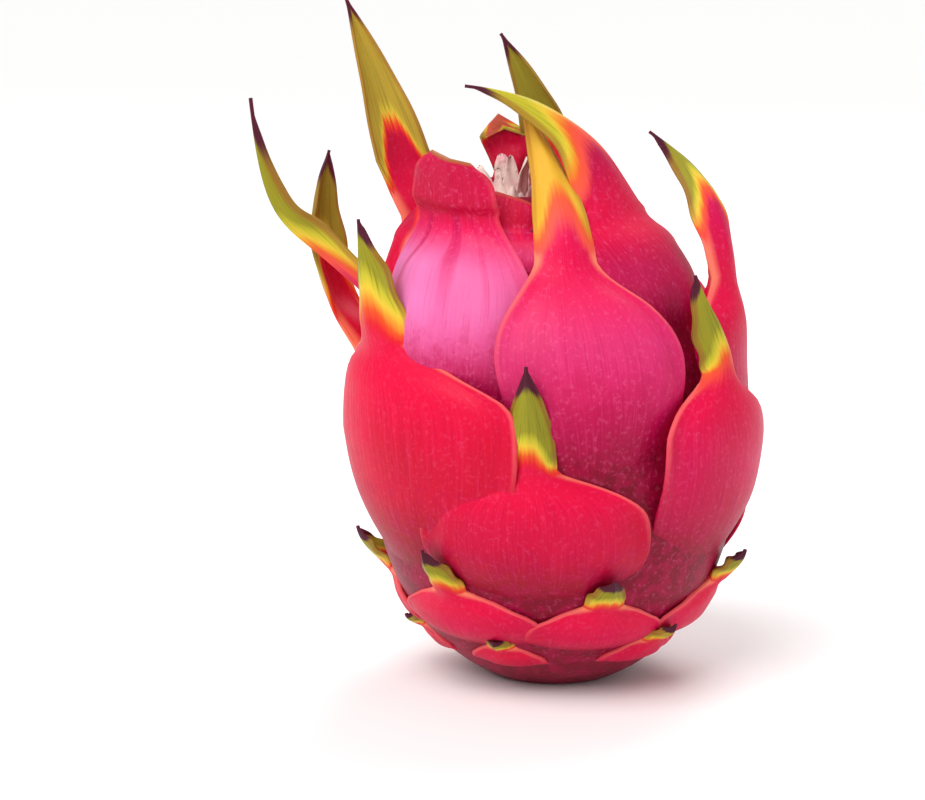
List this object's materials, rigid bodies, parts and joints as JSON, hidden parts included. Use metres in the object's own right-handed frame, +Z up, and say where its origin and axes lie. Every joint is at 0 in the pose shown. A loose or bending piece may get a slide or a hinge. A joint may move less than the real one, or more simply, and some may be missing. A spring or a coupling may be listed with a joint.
{
  "type": "dragon fruit",
  "caption": "Whole dragon fruit standing on its stem end: an oval body covered in leafy scales whose long tips rise round an open crown.",
  "frame": {"origin": "middle of the flat spot that the fruit stands on, at the cut face of its stem", "axes": "+Z up from the stem end towards the crown, -Y the front, +X to the right as seen from the front"},
  "size_m": [0.1229, 0.106, 0.163],
  "materials": {
    "skin": "waxy magenta skin, its scales turning orange, olive green and purple-brown towards their tips",
    "dried_flower": "dry, pale and papery",
    "stem": "rough woody cut"
  },
  "bodies": {
    "root": {"fruit": "skin", "flower_stump": "dried_flower", "stem_stub": "stem"}
  },
  "joints": []
}
